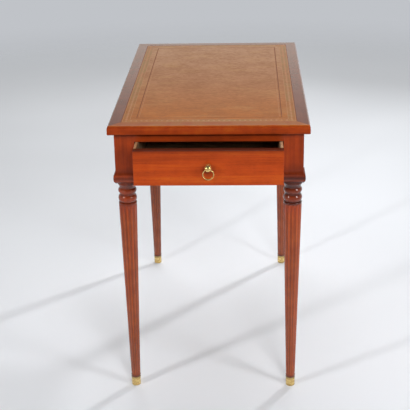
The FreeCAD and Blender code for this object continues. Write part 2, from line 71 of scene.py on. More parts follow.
# Border of the leather, from its outer edge inwards: width and sink of each ring in millimetres, and
# the finish of that ring. A fillet is a thin line that a brass wheel has pressed into the hide.
HIDE, GILT, BLIND, ROLL = range(4)
BORDER_RINGS = (
    (0.8, 0.0, BLIND),
    (1.4, 0.0, HIDE),
    (0.5, 0.12, GILT),
    (0.5, -0.12, GILT),
    (17.0, 0.0, ROLL),
    (0.5, 0.12, GILT),
    (0.5, -0.12, GILT),
    (14.0, 0.0, HIDE),
    (0.5, 0.30, BLIND),
    (1.2, 0.0, BLIND),
    (0.5, -0.30, BLIND),
    (4.0, 0.0, HIDE),
    (0.4, 0.10, GILT),
    (0.4, -0.10, GILT),
)
# Lozenges and dots of the gilt roll, in millimetres: the inset of their line, which runs along the
# middle of the roll's own ring, the step from one lozenge to the next, half of a lozenge and half of a
# dot along and across, and how far they stand up
ROLL_RING = [finish for width, sink, finish in BORDER_RINGS].index(ROLL)
ROLL_INSET = sum(ring[0] for ring in BORDER_RINGS[:ROLL_RING]) + BORDER_RINGS[ROLL_RING][0] / 2
ROLL_STEP = 13.0
LOZENGE = (4.4, 3.8)
DOT = (1.2, 1.2)
ROLL_RISE = 0.12
# Least and most of the gold that wear has left on the hide under the roll
GILDING = (0.16, 0.64)

# How dark the wood is painted, from the floor up: height in metres and how dark. Part of it is old
# polish that has collected there; part is painted shade, in the grooves and coves of the legs' necks
# and the quirks of their moulded bases, and on the blocks just under the top
LEG_AGE_AND_SHADE = ((0.0255, 0.85), (0.030, 0.70), (0.036, 0.12), (0.300, 0.00), (0.515, 0.05), (0.530, 0.25),
           (0.5345, 0.62), (0.5385, 0.70), (0.543, 0.40), (0.549, 0.26), (0.555, 0.42), (0.5595, 0.80),
           (0.564, 0.42), (0.570, 0.28), (0.575, 0.50), (0.579, 0.78), (0.588, 0.60), (0.597, 0.66),
           (0.5995, 0.60), (0.6005, 0.28), (0.6025, 0.28), (0.605, 0.64), (0.611, 0.64), (0.614, 0.28),
           (0.6175, 0.28), (0.619, 0.74), (0.6275, 0.58), (0.640, 0.43), (0.700, 0.28), (0.712, 0.34),
           (0.724, 0.62))
# Drawer front: a little darker at its lower edge, and painted shade along its top edge under the top
DRAWER_SHADE = ((0.612, 0.15), (0.622, 0.0), (0.680, 0.0), (0.695, 0.20), (0.701, 0.50), (0.7025, 0.93))
# Rails: painted shade at their top, just under the top's overhang, and old polish lower down
RAIL_AGE_AND_SHADE = ((0.60, 0.25), (0.62, 0.10), (0.70, 0.16), (0.726, 0.65))
# Front member of the frame: painted shade along its lower edge, where its moulding turns down
FRONT_AGE_AND_SHADE = ((0.726, 0.50), (0.732, 0.34), (0.744, 0.31), (0.7495, 0.20))
# Back and side members: painted shade along the lower edge and a painted dark line along the top edge
SIDE_AGE_AND_SHADE = ((0.726, 0.40), (0.732, 0.20), (0.744, 0.20), (0.7495, 0.70))
# How far each leg's wood lies towards its dark streaks, how much darker its neck and moulded base are
# painted, and the heights in metres between which those lie
LEG_LOOKS = {
    "leg_front_left": (0.10, 0.0),
    "leg_front_right": (0.08, 0.30),
    "leg_back_left": (0.18, 0.0),
    "leg_back_right": (0.18, 0.0),
}
NECK_HEIGHTS = (0.530, 0.618)

# Grime on the brass shoes: height in metres and how thick, from the floor up
SHOE_AGE = ((0.000, 0.55), (0.004, 0.20), (0.018, 0.15), (0.0255, 0.60))

# How much of the clear film is left: height in metres and its weight, from the floor up, or one weight
# for the whole piece
LEG_GLOSS = ((0.100, 1.0), (0.480, 0.80), (0.530, 0.95), (0.600, 0.95), (0.620, 0.40))
FRONT_GLOSS = ((0.747, 0.10), (0.750, 0.38))
RAIL_GLOSS = 0.5
DRAWER_GLOSS = 0.25

# Where hands and arms have rubbed the stain thin: height in metres and how far, from the floor up
LEG_WEAR = ((0.480, 0.22), (0.530, 0.0))
FRONT_WEAR = ((0.747, 0.0), (0.750, 0.75))

# The flutes of a leg: how many, how dark their hollows are painted as painted shade, the height in
# metres where they end, and how softly they end
FLUTES = 12
FLUTE_SHADE = 0.38
FLUTE_TOP = 0.529
FLUTE_FADE = 6 * MM
# The dark patch round the pull, partly grime that hands have left and partly painted shade of the ring
# and its boss: how far it reaches, where it is darkest, and how dark it is there
PATCH_REACH = 22 * MM
PATCH_CORE = 8.8 * MM
PATCH_GRIME_AND_SHADE = 0.45

# How thick the dark lies on the drawer's sides and on the other pieces inside, partly dust and partly
# painted shade of the table's inside, how much of a drawer side's thickness sliding rubs clean, and how
# softly the darkening begins there
SIDE_DUST_AND_SHADE = 0.85
INSIDE_DUST_AND_SHADE = 0.6
RUB_DEPTH = 5 * MM
RUB_FADE = 2 * MM

# Width in millimetres of one faint line left in the brass of the shoes and of the pull
SHOE_LINES = 0.8
PULL_LINES = 3.0

# Lamps of the studio: where each stands and where it aims, in metres, its diameter in metres, the angle
# of its beam in degrees, and whether polish mirrors it. The sky panel and the front panel are broad and
# soft, the side lamp less so, and the other two are small and draw the shadows.
LAMPS = {
    "sky_panel": ((0.0, 2.0, 3.2), (0.0, 1.7, 0.0), 2.2, 180, True),
    "front_panel": ((0.75, -3.1, 2.1), (0.0, -0.4, 0.4), 1.0, 90, False),
    "back_lamp": ((1.75, 2.15, 2.0), (0.0, -0.1, 0.35), 0.22, 120, True),
    "front_lamp": ((-1.7, -1.7, 1.45), (0.0, -0.1, 0.35), 0.20, 70, True),
    "side_lamp": ((1.7, -1.5, 1.4), (0.0, -0.1, 0.35), 0.6, 70, True),
}

# The floor: its radius in metres, how far it lies below the feet, and how bright the dimmer clouds of
# its paper are, as a share of the paper
FLOOR_RADIUS = 40.0
FLOOR_GAP = 0.1 * MM
PAPER_DIM = 0.95
# How far from the middle, in metres, the floor begins to fade into the backdrop and is gone, for the
# camera and in reflections
FLOOR_FADE = (2.2, 4.4)
SEEN_RAYS = ("Is Camera Ray", "Is Glossy Ray", "Is Transmission Ray")

# Where the walls change, as parts of a look of unit length: along Y from before the table to behind it,
# and along Z from the backdrop to the walls and from the walls to overhead
WALL_DEPTHS = (-0.3, 0.95)
WALL_FOOT = (-0.02, 0.10)
WALL_CROWN = (0.235, 0.305)


def linear(hex_colour):
    """Linear red, green and blue of an sRGB hex colour."""
    shares = [int(hex_colour[start:start + 2], 16) / 255 for start in (0, 2, 4)]
    return tuple(s / 12.92 if s <= 0.04045 else ((s + 0.055) / 1.055) ** 2.4 for s in shares)


def colour(name, description, hex_colour):
    """Colour property with an sRGB default."""
    return FloatVectorProperty(name=name, description=description, subtype="COLOR", size=3,
                               min=0.0, max=1.0, default=linear(hex_colour))


def length(name, description, millimetres):
    """Length property with a default in millimetres."""
    return FloatProperty(name=name, description=description, unit="LENGTH", min=0.0,
                         precision=5, default=millimetres * MM)


def share(name, description, default):
    """Property that runs from nothing to all."""
    return FloatProperty(name=name, description=description, subtype="FACTOR", min=0.0, max=1.0,
                         default=default)


def watts(name, description, default):
    """Power of a lamp."""
    return FloatProperty(name=name, description=description, unit="POWER", min=0.0, default=default)


class MahoganyFinish(bpy.types.PropertyGroup):
    """Stained and French polished mahogany"""

    light: colour("Light grain", "Palest streaks of the wood", "C65E18")
    middle: colour("Middle grain", "Body colour of the wood", "B04211")
    dark: colour("Dark grain", "Deepest streaks of the wood", "88320D")
    pore: colour("Pores", "Stain held in the open pores", "3E1207")
    worn: colour("Worn wood", "Wood yellowed where the stain is rubbed thin", "A8692A")
    streak: length("Streak width", "Width of one streak across the grain", 3.6)
    polish: share("Polish haze", "Roughness of the shellac film", 0.12)


class OakFinish(bpy.types.PropertyGroup):
    """Planed oak without any finish"""

    light: colour("Light grain", "Early wood", "EABE96")
    dark: colour("Dark grain", "Late wood", "C89264")
    pore: colour("Pores", "Open pores", "7E5A34")
    # Also the painted shade on the inner faces of the drawer and on the pieces inside
    dust: colour("Dust", "Old dust and handling inside the table", "1E140C")


class LeatherFinish(bpy.types.PropertyGroup):
    """Waxed calf skiver with a tooled border"""

    # The hide grows paler and greyer from the drawer end to the far end: painted sheen of the pale walls
    tan: colour("Tan hide", "Hide at the drawer end, where hands have waxed it", "AE662A")
    rubbed: colour("Rubbed hide", "Hide along the middle, where sleeves have rubbed it", "A97653")
    faded: colour("Faded hide", "Hide at the far end, which light has bleached", "B28C70")
    dark: colour("Dark hide", "Hide where wax and ink have sunk in", "84502A")
    pale: colour("Pale hide", "Hide scuffed through to its pale flesh", "C9A068")
    blind: colour("Blind line", "Line burnt in with a hot wheel", "743A1C")
    gold: colour("Gold leaf", "Leaf left in the tooled border", "87724A")
    cloud: length("Clouds", "Size of one cloud of wear", 60.0)
    fleck: length("Flecks", "Size of one fleck of wax", 4.0)
    scuff: length("Scuffs", "Size of one pale patch that sleeves have scuffed", 38.0)
    grain: length("Hide grain", "Size of one pebble of the hide, drawn coarse enough to show", 1.4)


class BrassFinish(bpy.types.PropertyGroup):
    """Polished brass with a little tarnish"""

    bright: colour("Bright brass", "Brass where hands and floors rub it", "F6D68C")
    tarnish: colour("Tarnish", "Brass that nothing rubs", "D2AA62")
    grime: colour("Grime", "Floor wax and dust on the shoes", "4A3420")


class SteelFinish(bpy.types.PropertyGroup):
    """Bright wood screws"""

    bright: colour("Bright steel", "Turned steel", "A5A5A2")
    rust: colour("Rust", "Thin brown film in the slots", "6E5A4A")


class StudioSetting(bpy.types.PropertyGroup):
    """Floor, lamps and camera"""

    floor: colour("Floor", "Paper under the table", "ECEFF5")
    surround: colour("Surround", "Pale walls of the studio", "F4F3E8")
    backdrop: colour("Backdrop", "Background where the floor ends", "C0C3C8")
    behind: share("Behind", "Brightness of the walls behind the table", 1.0)
    before: share("Before", "Brightness of the walls before the table", 0.30)
    overhead: share("Overhead", "Brightness overhead, as a share of the walls", 0.25)
    sky_panel: watts("Sky panel", "Broad panel above and behind", 62.0)
    front_panel: watts("Front panel", "Broad panel beside the camera", 12.0)
    back_lamp: watts("Back lamp", "Small lamp behind on the right", 15.5)
    front_lamp: watts("Front lamp", "Small lamp in front on the left", 3.0)
    side_lamp: watts("Side lamp", "Lamp in front on the right", 3.0)
    lens: FloatProperty(name="Lens", description="Focal length", unit="CAMERA", default=94.63)
    camera_place: FloatVectorProperty(name="Camera", description="Where the camera stands",
                                      subtype="XYZ", unit="LENGTH", size=3,
                                      default=(0.0925, -2.9465, 1.5487))
    camera_turn: FloatVectorProperty(name="Camera turn", description="Tilt down, turn right and roll",
                                     subtype="EULER", unit="ROTATION", size=3,
                                     default=[math.radians(angle) for angle in (21.83, -2.37, -1.07)])


class WritingTableLook(bpy.types.PropertyGroup):
    """Every finish of the writing table"""

    mahogany: PointerProperty(type=MahoganyFinish)
    oak: PointerProperty(type=OakFinish)
    leather: PointerProperty(type=LeatherFinish)
    brass: PointerProperty(type=BrassFinish)
    steel: PointerProperty(type=SteelFinish)
    studio: PointerProperty(type=StudioSetting)


# Materials

def per_metre(millimetres):
    """How often a pattern of this size repeats in a metre."""
    return 1 / (millimetres * MM)


def feed(tree, node, inputs):
    """Set a node's inputs to plain values, or link them to other nodes or their sockets."""
    for key, value in inputs.items():
        socket = node.inputs[key]
        if isinstance(key, str):
            socket = next(s for s in node.inputs if s.name == key and s.enabled)
        if isinstance(value, bpy.types.Node):
            value = next(s for s in value.outputs if s.enabled)
        if isinstance(value, bpy.types.NodeSocket):
            tree.links.new(value, socket)
        elif socket.type == "RGBA":
            socket.default_value = (*value, 1.0)
        else:
            socket.default_value = value
    return node


def add(tree, kind, inputs=(), stops=(), **settings):
    """Add a node with its settings, the stops of its ramp if it has one, and what feeds it."""
    node = tree.nodes.new("ShaderNode" + kind)
    for name, value in settings.items():
        setattr(node, name, value)
    for index, (place, tone) in enumerate(stops):
        elements = node.color_ramp.elements
        stop = elements[index] if index < len(elements) else elements.new(place)
        stop.position = place
        stop.color = (*tone, 1.0)
    return feed(tree, node, dict(inputs))


def blank_material(name):
    """New material, its node tree, its shader and the object coordinates that its patterns read."""
    material = bpy.data.materials.new(name)
    material.use_nodes = True
    tree = material.node_tree
    shader = tree.nodes["Principled BSDF"]
    place = add(tree, "TexCoord").outputs["Object"]
    return material, tree, shader, place


def grain_layer(tree, place, grain, along, across, detail=3.0, lean=0.0):
    """Cloudy pattern drawn out along one axis, given the millimetres of one cloud each way."""
    scale = [per_metre(across)] * 3
    scale["XYZ".index(grain)] = per_metre(along)
    drawn = add(tree, "Mapping", {"Vector": place, "Scale": scale, "Rotation": (lean, lean, lean)})
    return add(tree, "TexNoise", {"Vector": drawn, "Scale": 1.0, "Detail": detail, "Roughness": 0.55})


def by_height(tree, place, table):
    """What a table of heights and values gives at each height."""
    foot, crown = cad_box[0].z, cad_box[1].z
    height = add(tree, "SeparateXYZ", {"Vector": place}).outputs["Z"]
    level = add(tree, "MapRange", {"Value": height, "From Min": foot, "From Max": crown})
    return add(tree, "ValToRGB", {"Fac": level}, stops=[
        ((stop - foot) / (crown - foot), [value] * 3) for stop, value in table])


def flute_shade_layer(tree, place, axis):
    """How dark the hollows of the flutes are painted, as painted shade, on the leg on this axis."""
    split = add(tree, "SeparateXYZ", {"Vector": place})
    across = add(tree, "Math", {0: split.outputs["X"], 1: axis.x}, operation="SUBTRACT")
    along = add(tree, "Math", {0: split.outputs["Y"], 1: axis.y}, operation="SUBTRACT")
    turn = add(tree, "Math", {0: along, 1: across}, operation="ARCTAN2")
    waves = add(tree, "Math", {0: turn, 1: FLUTES}, operation="MULTIPLY")
    rise = add(tree, "Math", {0: waves}, operation="COSINE")
    hollow = add(tree, "MapRange", {"Value": rise, "From Min": 0.4, "From Max": -0.5,
                                    "To Max": FLUTE_SHADE})
    below = add(tree, "MapRange", {"Value": split.outputs["Z"], "From Min": FLUTE_TOP,
                                   "From Max": FLUTE_TOP - FLUTE_FADE})
    return add(tree, "Math", {0: hollow, 1: below}, operation="MULTIPLY")


def pull_grime_and_shade_layer(tree, place, middle):
    """How dark the wood is painted round this point: partly hands' grime, partly painted shade."""
    away = add(tree, "VectorMath", {0: place, 1: middle}, operation="DISTANCE").outputs["Value"]
    return add(tree, "MapRange", {"Value": away, "From Min": PATCH_REACH, "From Max": PATCH_CORE,
                                  "To Max": PATCH_GRIME_AND_SHADE})


def polished_mahogany(name, grain, darkening, depth=0.0, figure=0.25, gloss=1.0, wear=None, layer=None,
                      about=None):
    """Mahogany, stained and French polished.

    The eye sees long red-brown streaks, short dark pores and a soft cross figure deep under a clear
    film that mirrors the room. Darkening, a table by height, darkens the wood where old polish has
    collected and, as painted shade, in hollows, under the top and along edges. Wear yellows it at the
    heights where it is rubbed, and a layer darkens it about a point, as painted shade in a leg's flutes
    and as grime with painted shade round the pull. Gloss is the weight of the film, one number or a
    table by height, and depth moves the whole board towards its dark streaks.
    """
    finish = bpy.context.scene.writing_table.mahogany
    material, tree, shader, place = blank_material(name)
    streak = finish.streak / MM
    bands = grain_layer(tree, place, grain, 150 * streak, 7 * streak, lean=0.02)
    streaks = grain_layer(tree, place, grain, 40 * streak, streak, detail=5.0, lean=-0.012)
    mottle = grain_layer(tree, place, grain, 8 * streak, 10 * streak)
    tone = add(tree, "Mix", {"Factor": 0.45, "A": bands, "B": streaks})
    tone = add(tree, "Mix", {"Factor": figure, "A": tone, "B": mottle})
    body = add(tree, "ValToRGB", {"Fac": tone}, stops=(
        (0.30 + depth, finish.dark), (0.49 + depth, finish.middle), (0.70 + depth, finish.light)))
    # Real pores are about 0.2 mm wide. They are drawn three times as wide so that they show.
    pores = grain_layer(tree, place, grain, 9.0, 0.6, detail=1.0)
    open_pore = add(tree, "MapRange", {"Value": pores, "From Min": 0.60, "From Max": 0.78,
                                       "To Max": 0.55})
    stained = add(tree, "Mix", {"Factor": open_pore, "A": body, "B": finish.pore}, data_type="RGBA")
    if wear:
        patches = add(tree, "MapRange", {"Value": mottle, "From Min": 0.36, "From Max": 0.58,
                                         "To Min": 0.6})
        rubbed = add(tree, "Math", {0: by_height(tree, place, wear), 1: patches}, operation="MULTIPLY")
        stained = add(tree, "Mix", {"Factor": rubbed, "A": stained, "B": finish.worn}, data_type="RGBA")
    # Old polish and painted shade by height, and the layer's painted shade
    age_and_shade = by_height(tree, place, darkening)
    if layer:
        age_and_shade = add(tree, "Math", {0: age_and_shade, 1: layer(tree, place, about)}, operation="MAXIMUM")
    aged_and_shaded = add(tree, "Mix", {"Factor": age_and_shade, "A": stained, "B": finish.pore}, data_type="RGBA")
    shine = gloss if isinstance(gloss, float) else by_height(tree, place, gloss)
    sunk = add(tree, "Bump", {"Height": open_pore, "Strength": 0.25, "Distance": 0.04 * MM}, invert=True)
    # A hand-rubbed film is never quite flat, so its reflections waver over a few centimetres.
    ripple = grain_layer(tree, place, grain, 70.0, 45.0, detail=1.0)
    film = add(tree, "Bump", {"Height": ripple, "Strength": 0.3, "Distance": 0.25 * MM})
    feed(tree, shader, {"Base Color": aged_and_shaded, "Roughness": 0.5, "Specular IOR Level": 0.1,
                        "Normal": sunk, "Coat Weight": shine, "Coat Roughness": finish.polish,
                        "Coat IOR": 1.55, "Coat Normal": film})
    return material


def planed_oak(name, grain, dust, rubbed=None):
    """Oak, planed and left bare.

    The eye sees pale dry wood with bands of open pores and little gloss. Dust, with painted shade,
    darkens what stays inside, out to the distance from the middle, in metres, where sliding rubs the
    wood clean.
    """
    finish = bpy.context.scene.writing_table.oak
    material, tree, shader, place = blank_material(name)
    rings = grain_layer(tree, place, grain, 260.0, 6.0, detail=3.0, lean=0.015)
    fibres = grain_layer(tree, place, grain, 40.0, 0.9, detail=2.0)
    tone = add(tree, "Mix", {"Factor": 0.35, "A": rings, "B": fibres})
    body = add(tree, "ValToRGB", {"Fac": tone}, stops=((0.38, finish.dark), (0.60, finish.light)))
    # Oak's pores are about 0.3 mm wide, and are drawn a little wider so that they show.
    pores = grain_layer(tree, place, grain, 12.0, 0.5, detail=1.0)
    open_pore = add(tree, "MapRange", {"Value": pores, "From Min": 0.58, "From Max": 0.72,
                                       "To Max": 0.7})
    stained = add(tree, "Mix", {"Factor": open_pore, "A": body, "B": finish.pore}, data_type="RGBA")
    # Dust and painted shade, in clouds
    dust_and_shade = add(tree, "TexNoise", {"Vector": place, "Scale": per_metre(60), "Detail": 3.0})
    dust_and_shade = add(tree, "MapRange", {"Value": dust_and_shade, "From Min": 0.3, "From Max": 0.7,
                                     "To Min": dust, "To Max": 0.8 * dust})
    if rubbed:
        across = add(tree, "SeparateXYZ", {"Vector": place}).outputs["X"]
        out = add(tree, "Math", {0: across}, operation="ABSOLUTE")
        inside = add(tree, "MapRange", {"Value": out, "From Min": rubbed, "From Max": rubbed - RUB_FADE})
        dust_and_shade = add(tree, "Math", {0: dust_and_shade, 1: inside}, operation="MULTIPLY")
    dusty_and_shaded = add(tree, "Mix", {"Factor": dust_and_shade, "A": stained, "B": finish.dust}, data_type="RGBA")
    sunk = add(tree, "Bump", {"Height": open_pore, "Strength": 0.4, "Distance": 0.15 * MM}, invert=True)
    feed(tree, shader, {"Base Color": dusty_and_shaded, "Roughness": 0.72, "Specular IOR Level": 0.2,
                        "Normal": sunk})
    return material


def wear_clouds(tree, place):
    """Clouds of wear over the whole leather."""
    size = bpy.context.scene.writing_table.leather.cloud / MM
    return add(tree, "TexNoise", {"Vector": place, "Scale": per_metre(size), "Detail": 4.0})


def waxed_calf(name, gilding=None):
    """Calf skiver, dyed tan, waxed and worn.

    The eye sees a pebbled hide, warm at the drawer end and painted paler and greyer towards the far end
    as a painted sheen of the pale walls, clouded by wear, flecked where wax has sunk in and scuffed pale
    in patches. Gilding, given as the least and the most that is left, is the yellow stain of a gold
    border.
    """
    finish = bpy.context.scene.writing_table.leather
    material, tree, shader, place = blank_material(name)
    low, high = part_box("leather_writing_surface")
    along = add(tree, "SeparateXYZ", {"Vector": place}).outputs["Y"]
    # Painted sheen: the hide grows paler and greyer towards the far end
    brightened = add(tree, "MapRange", {"Value": along, "From Min": low.y, "From Max": high.y})
    dyed = add(tree, "ValToRGB", {"Fac": brightened}, stops=(
        (0.05, finish.tan), (0.45, finish.rubbed), (0.95, finish.faded)))
    clouds = wear_clouds(tree, place)
    flecks = grain_layer(tree, place, "X", 2.5 * finish.fleck / MM, finish.fleck / MM, detail=5.0)
    tone = add(tree, "Mix", {"Factor": 0.7, "A": clouds, "B": flecks})
    sunk = add(tree, "MapRange", {"Value": tone, "From Min": 0.60, "From Max": 0.36, "To Max": 0.7})
    waxed = add(tree, "Mix", {"Factor": sunk, "A": dyed, "B": finish.dark}, data_type="RGBA")
    scuffs = grain_layer(tree, place, "X", 2 * finish.scuff / MM, finish.scuff / MM, detail=6.0)
    bared = add(tree, "MapRange", {"Value": scuffs, "From Min": 0.50, "From Max": 0.80, "To Max": 0.25})
    waxed = add(tree, "Mix", {"Factor": bared, "A": waxed, "B": finish.pale}, data_type="RGBA")
    if gilding:
        least, most = gilding
        kept = add(tree, "MapRange", {"Value": clouds, "From Min": 0.42, "From Max": 0.58,
                                      "To Min": least, "To Max": most})
        left = add(tree, "MapRange", {"Value": flecks, "From Min": 0.30, "From Max": 0.55})
        left = add(tree, "Math", {0: left, 1: kept}, operation="MULTIPLY")
        waxed = add(tree, "Mix", {"Factor": left, "A": waxed, "B": finish.gold}, data_type="RGBA")
    pebbles = add(tree, "TexVoronoi", {"Vector": place, "Scale": per_metre(finish.grain / MM)},
                  feature="SMOOTH_F1")
    hide = add(tree, "Bump", {"Height": pebbles, "Strength": 0.35, "Distance": 0.25 * MM}, invert=True)
    feed(tree, shader, {"Base Color": waxed, "Roughness": 0.5, "Specular IOR Level": 0.08,
                        "Normal": hide})
    return material


def blind_tooling(name):
    """Calf burnt dark by a hot wheel.

    The eye sees a narrow dark brown line, worn paler in places.
    """
    finish = bpy.context.scene.writing_table.leather
    material, tree, shader, place = blank_material(name)
    worn = add(tree, "TexNoise", {"Vector": place, "Scale": per_metre(18), "Detail": 3.0})
    body = add(tree, "ValToRGB", {"Fac": worn}, stops=((0.45, finish.blind), (0.75, finish.dark)))
    feed(tree, shader, {"Base Color": body, "Roughness": 0.5, "Specular IOR Level": 0.08})
    return material


def gold_leaf(name):
    """Gold leaf pressed into calf, much rubbed.

    The eye sees a broken yellow glint with tan hide showing where the leaf has gone.
    """
    finish = bpy.context.scene.writing_table.leather
    material, tree, shader, place = blank_material(name)
    rubbed = add(tree, "TexNoise", {"Vector": place, "Scale": per_metre(7), "Detail": 5.0,
                                    "Roughness": 0.7})
    leaf = add(tree, "MapRange", {"Value": rubbed, "From Min": 0.42, "From Max": 0.72})
    kept = add(tree, "MapRange", {"Value": wear_clouds(tree, place), "From Min": 0.42, "From Max": 0.58,
                                  "To Min": 0.4})
    leaf = add(tree, "Math", {0: leaf, 1: kept}, operation="MULTIPLY")
    body = add(tree, "Mix", {"Factor": leaf, "A": finish.tan, "B": finish.gold}, data_type="RGBA")
    metal = add(tree, "MapRange", {"Value": leaf, "To Max": 0.45})
    feed(tree, shader, {"Base Color": body, "Metallic": metal, "Roughness": 0.42})
    return material


def polished_brass(name, line_width, darkening=None):
    """Brass, turned or cast and then polished.

    The eye sees a warm mirror, dulled in patches, with faint lines round it of this width in
    millimetres. Darkening, a table by height, lays grime on it.
    """
    finish = bpy.context.scene.writing_table.brass
    material, tree, shader, place = blank_material(name)
    patches = add(tree, "TexNoise", {"Vector": place, "Scale": per_metre(9), "Detail": 4.0})
    dulled = add(tree, "MapRange", {"Value": patches, "From Min": 0.46, "From Max": 0.72})
    body = add(tree, "Mix", {"Factor": dulled, "A": finish.bright, "B": finish.tarnish},
               data_type="RGBA")
    haze = add(tree, "MapRange", {"Value": patches, "From Min": 0.35, "From Max": 0.75,
                                  "To Min": 0.15, "To Max": 0.30})
    clean = add(tree, "MapRange", {"Value": dulled, "To Min": 0.92, "To Max": 0.65})
    if darkening:
        soiled = by_height(tree, place, darkening)
        body = add(tree, "Mix", {"Factor": soiled, "A": body, "B": finish.grime}, data_type="RGBA")
        bare = add(tree, "Math", {0: 1.0, 1: soiled}, operation="SUBTRACT")
        clean = add(tree, "Math", {0: clean, 1: bare}, operation="MULTIPLY")
    lines = grain_layer(tree, place, "Z", line_width, 400.0, detail=2.0)
    lined = add(tree, "Bump", {"Height": lines, "Strength": 0.12, "Distance": 0.05 * MM})
    feed(tree, shader, {"Base Color": body, "Metallic": clean, "Roughness": haze, "Normal": lined})
    return material


def turned_steel(name):
    """Steel, turned bright, with a thin film of rust.

    The eye sees grey metal with brown freckles.
    """
    finish = bpy.context.scene.writing_table.steel
    material, tree, shader, place = blank_material(name)
    freckles = add(tree, "TexNoise", {"Vector": place, "Scale": per_metre(1.6), "Detail": 4.0})
    rusted = add(tree, "MapRange", {"Value": freckles, "From Min": 0.52, "From Max": 0.70})
    body = add(tree, "Mix", {"Factor": rusted, "A": finish.bright, "B": finish.rust}, data_type="RGBA")
    clean = add(tree, "MapRange", {"Value": rusted, "To Min": 1.0, "To Max": 0.2})
    feed(tree, shader, {"Base Color": body, "Metallic": clean, "Roughness": 0.38})
    return material


def studio_paper(name):
    """Background paper, matt and nearly white.

    The eye sees an even pale ground that keeps soft shadows and fades into the backdrop far away.
    """
    finish = bpy.context.scene.writing_table.studio
    material, tree, shader, place = blank_material(name)
    clouds = add(tree, "TexNoise", {"Vector": place, "Scale": per_metre(900), "Detail": 1.0})
    dim = [channel * PAPER_DIM for channel in finish.floor]
    tone = add(tree, "ValToRGB", {"Fac": clouds}, stops=((0.35, dim), (0.65, finish.floor)))
    feed(tree, shader, {"Base Color": tone, "Roughness": 0.9, "Specular IOR Level": 0.1})
    away = add(tree, "VectorMath", {0: place}, operation="LENGTH").outputs["Value"]
    near, end = FLOOR_FADE
    far = add(tree, "MapRange", {"Value": away, "From Min": near, "From Max": end},
              interpolation_type="SMOOTHSTEP")
    path = add(tree, "LightPath")
    seen, *others = [path.outputs[ray] for ray in SEEN_RAYS]
    for ray in others:
        seen = add(tree, "Math", {0: seen, 1: ray}, operation="MAXIMUM")
    gone = add(tree, "Math", {0: far, 1: seen}, operation="MULTIPLY")
    faded = add(tree, "MixShader", {0: gone, 1: shader, 2: add(tree, "BsdfTransparent")})
    feed(tree, tree.nodes["Material Output"], {"Surface": faded})
    return material


def studio_walls(name):
    """Walls of the studio: pale behind the table, dimmer before it and overhead.

    Below the horizon lies the plain backdrop that the floor fades into.
    """
    studio = bpy.context.scene.writing_table.studio
    world = bpy.data.worlds.new(name)
    world.use_nodes = True
    tree = world.node_tree
    look = add(tree, "SeparateXYZ", {"Vector": add(tree, "TexCoord").outputs["Generated"]})
    start, end = WALL_DEPTHS
    depth = add(tree, "MapRange", {"Value": look.outputs["Y"], "From Min": start, "From Max": end,
                                   "To Min": studio.before, "To Max": studio.behind})
    start, end = WALL_CROWN
    rise = add(tree, "MapRange", {"Value": look.outputs["Z"], "From Min": start, "From Max": end,
                                  "To Min": 1.0, "To Max": studio.overhead})
    glow = add(tree, "Math", {0: depth, 1: rise}, operation="MULTIPLY")
    walls = feed(tree, tree.nodes["Background"], {"Color": studio.surround, "Strength": glow})
    backdrop = add(tree, "Background", {"Color": studio.backdrop})
    start, end = WALL_FOOT
    above = add(tree, "MapRange", {"Value": look.outputs["Z"], "From Min": start, "From Max": end})
    both = add(tree, "MixShader", {0: above, 1: backdrop, 2: walls})
    feed(tree, tree.nodes["World Output"], {"Surface": both})
    return world


# Pieces

def nodes_named(*starts):
    """CAD nodes whose names start with any of these words."""
    return [name for name in sorted(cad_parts) if name.startswith(starts)]


def finish_nodes(names, material):
    """Give CAD nodes a finish."""
    if not names:
        raise ValueError("no piece takes the finish " + material.name)
    for name in names:
        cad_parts[name].material_slots[0].material = material


def new_piece(name, mesh_builder, materials):
    """Object at the origin from a bmesh, with its finishes, riding on the carcass."""
    mesh = bpy.data.meshes.new(name)
    mesh_builder.to_mesh(mesh)
    mesh_builder.free()
    for material in materials:
        mesh.materials.append(material)
    piece = bpy.data.objects.new(name, mesh)
    bpy.context.scene.collection.objects.link(piece)
    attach(piece, BODY)
    return piece


class PolishTopFrame(bpy.types.Operator):
    """French polish the mitred frame round the leather, with the grain along each member"""

    bl_idname = "writing_table.polish_top_frame"
    bl_label = "Polish Top Frame"

    def execute(self, context):
        # Old polish, with painted shade along the edges of the frame's members
        front = polished_mahogany("french_polished_mahogany_frame_front", "X", FRONT_AGE_AND_SHADE, depth=0.02,
                                  figure=0.4, gloss=FRONT_GLOSS, wear=FRONT_WEAR)
        finish_nodes(nodes_named("top_frame_front"), front)
        back = polished_mahogany("french_polished_mahogany_frame_back", "X", SIDE_AGE_AND_SHADE, depth=0.06,
                                 figure=0.4)
        finish_nodes(nodes_named("top_frame_back"), back)
        sides = polished_mahogany("french_polished_mahogany_frame_sides", "Y", SIDE_AGE_AND_SHADE, depth=0.06,
                                  figure=0.4)
        finish_nodes(nodes_named("top_frame_left", "top_frame_right"), sides)
        return {"FINISHED"}


class PolishLegs(bpy.types.Operator):
    """French polish the four turned and fluted legs"""

    bl_idname = "writing_table.polish_legs"
    bl_label = "Polish Legs"

    def execute(self, context):
        # The second number of each leg paints its neck and moulded base darker
        bottom, top = NECK_HEIGHTS
        for name, (depth, grime) in LEG_LOOKS.items():
            low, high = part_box(name.replace("leg", "shoe"))
            darkening = [(height, min(1.0, darkness + grime) if bottom < height < top else darkness)
                   for height, darkness in LEG_AGE_AND_SHADE]
            material = polished_mahogany("french_polished_mahogany_" + name, "Z", darkening, depth,
                                         gloss=LEG_GLOSS, wear=LEG_WEAR, layer=flute_shade_layer,
                                         about=(low + high) / 2)
            finish_nodes([name], material)
        return {"FINISHED"}


